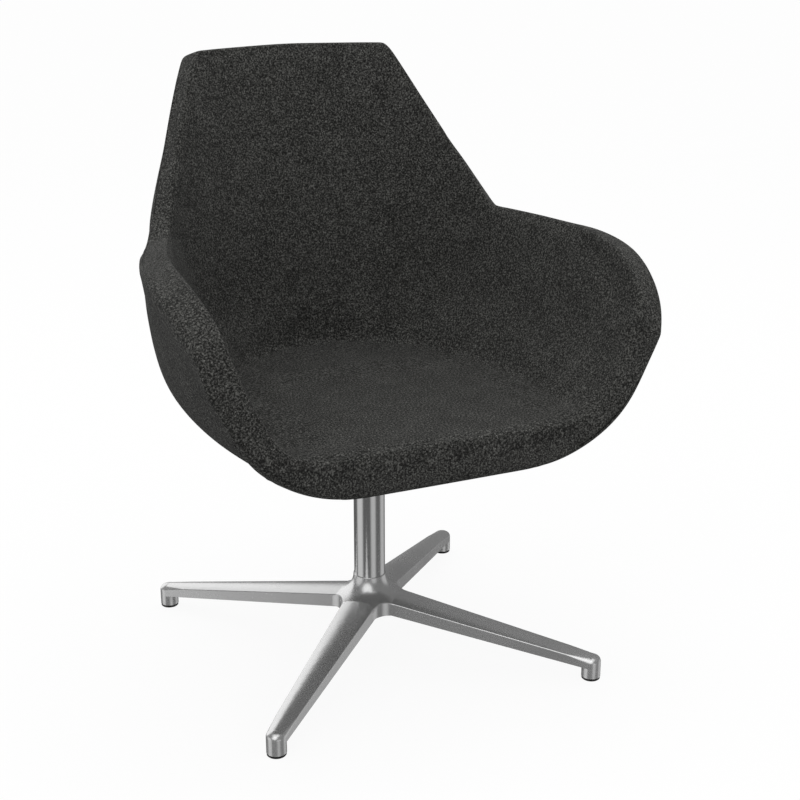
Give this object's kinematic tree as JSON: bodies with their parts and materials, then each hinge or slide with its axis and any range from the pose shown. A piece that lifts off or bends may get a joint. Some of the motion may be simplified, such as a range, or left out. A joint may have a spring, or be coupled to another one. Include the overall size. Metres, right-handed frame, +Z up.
{
  "type": "swivel tub chair",
  "caption": "Low swivel lounge chair: one-piece upholstered tub with flared arms and a tall tapering back, on a round metal column and a star base.",
  "frame": {"origin": "on the floor, on the swivel axis", "axes": "+Z up along the swivel axis, the chair faces -Y, +X to the right of someone looking at its front"},
  "size_m": [0.6678, 0.584, 0.8444],
  "materials": {
    "satin_aluminium": "satin polished casting",
    "brushed_column": "fine brushed tube",
    "glide_plastic": "matt black",
    "black_plastic": "matt black",
    "bearing_plastic": "natural bearing plastic",
    "bearing_steel": "ground",
    "black_steel": "black powder coat",
    "fixing_steel": "zinc plated",
    "shell_board": "moulded plywood",
    "foam": "upholstery foam",
    "heather_cloth": "charcoal heather felt"
  },
  "bodies": {
    "base": {"star_base": "satin_aluminium", "glide_1": "glide_plastic", "glide_2": "glide_plastic", "glide_3": "glide_plastic", "glide_4": "glide_plastic", "hub_plug": "black_plastic", "column_tube": "brushed_column", "upper_bush": "bearing_plastic", "lower_bush": "bearing_plastic", "lower_race": "bearing_steel", "thrust_ring": "bearing_plastic"},
    "seat": {"upper_race": "bearing_steel", "spindle": "bearing_steel", "keeper_clip": "bearing_steel", "keeper_washer": "bearing_steel", "seat_hub": "black_steel", "seat_plate": "black_steel", "plate_screw_1": "fixing_steel", "plate_screw_2": "fixing_steel", "plate_screw_3": "fixing_steel", "plate_screw_4": "fixing_steel", "tee_nut_1": "fixing_steel", "tee_nut_2": "fixing_steel", "tee_nut_3": "fixing_steel", "tee_nut_4": "fixing_steel", "structural_shell": "shell_board", "outer_padding": "foam", "outer_cover": "heather_cloth", "seat_foam": "foam", "arm_foam_right": "foam", "arm_foam_left": "foam", "back_foam": "foam", "seat_cover": "heather_cloth", "back_cover": "heather_cloth", "edge_band": "heather_cloth"}
  },
  "joints": [
    {"name": "seat_swivel", "type": "hinge", "parent": "base", "child": "seat", "pos_m": [0, 0, 0.32], "axis": [0, 0, 1], "continuous": true}
  ]
}
